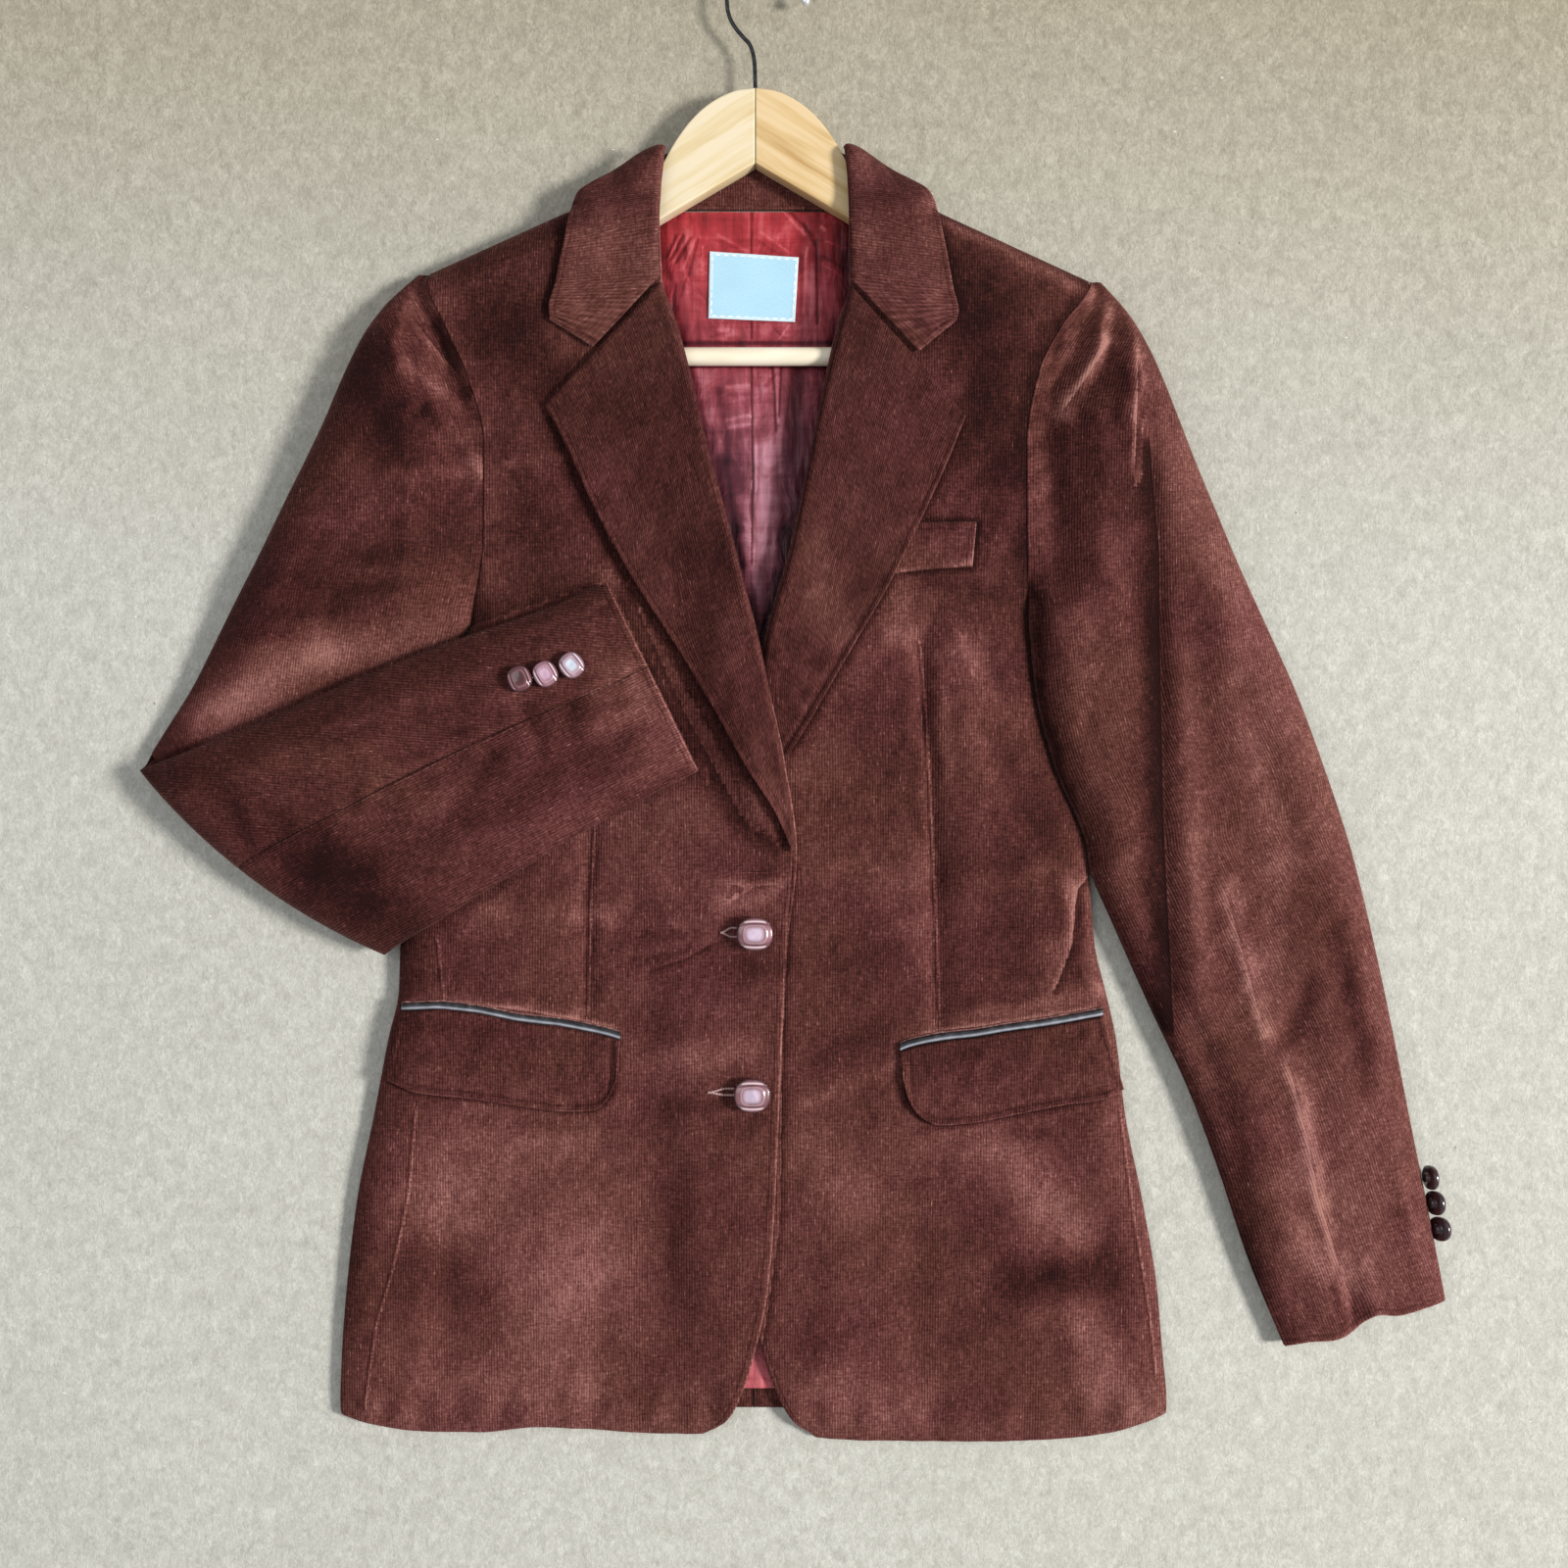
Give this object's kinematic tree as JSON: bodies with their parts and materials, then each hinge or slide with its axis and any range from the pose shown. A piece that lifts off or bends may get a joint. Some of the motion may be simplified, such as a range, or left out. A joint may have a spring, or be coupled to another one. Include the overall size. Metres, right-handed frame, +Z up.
{
  "type": "blazer on a hanger",
  "caption": "Tailored two-button blazer in fine corduroy velvet, laid flat face up on its wooden hanger, one sleeve folded over the front.",
  "frame": {"origin": "middle of the bounding box at the height of the surface that the blazer lies on", "axes": "+Z up out of the front of the blazer, away from the surface; +Y from the hem towards the hanger's hook; +X towards the wearer's left sleeve, which lies straight"},
  "size_m": [0.7668, 0.8714, 0.0389],
  "materials": {
    "corduroy_velvet": "fine-wale corduroy with a velvet nap",
    "satin_lining": "satin",
    "label_satin": "woven satin, bare",
    "piping_leather": "glossy",
    "button_resin": "glossy, pearly",
    "pale_wood": "sanded, unvarnished",
    "ivory_bar": "smooth",
    "dark_wire": "dark wire"
  },
  "bodies": {
    "root": {"back_left": "corduroy_velvet", "back_right": "corduroy_velvet", "front_left": "corduroy_velvet", "front_right": "corduroy_velvet", "lapel_left": "corduroy_velvet", "lapel_right": "corduroy_velvet", "collar_left": "corduroy_velvet", "collar_right": "corduroy_velvet", "collar_back": "corduroy_velvet", "sleeve_right_top": "corduroy_velvet", "sleeve_right_under": "corduroy_velvet", "arm_left_top": "corduroy_velvet", "arm_left_under": "corduroy_velvet", "forearm_left_top": "corduroy_velvet", "forearm_left_hind": "corduroy_velvet", "forearm_left_inner": "corduroy_velvet", "flap_left": "corduroy_velvet", "flap_right": "corduroy_velvet", "chest_welt": "corduroy_velvet", "back_lining": "satin_lining", "hem_lining": "satin_lining", "label": "label_satin", "piping_left": "piping_leather", "piping_right": "piping_leather", "button_front_1": "button_resin", "button_front_2": "button_resin", "button_cuff_left_1": "button_resin", "button_cuff_left_2": "button_resin", "button_cuff_left_3": "button_resin", "button_cuff_right_1": "button_resin", "button_cuff_right_2": "button_resin", "button_cuff_right_3": "button_resin", "hanger_left": "pale_wood", "hanger_right": "pale_wood", "hanger_bar": "ivory_bar", "hanger_hook": "dark_wire"}
  },
  "joints": []
}
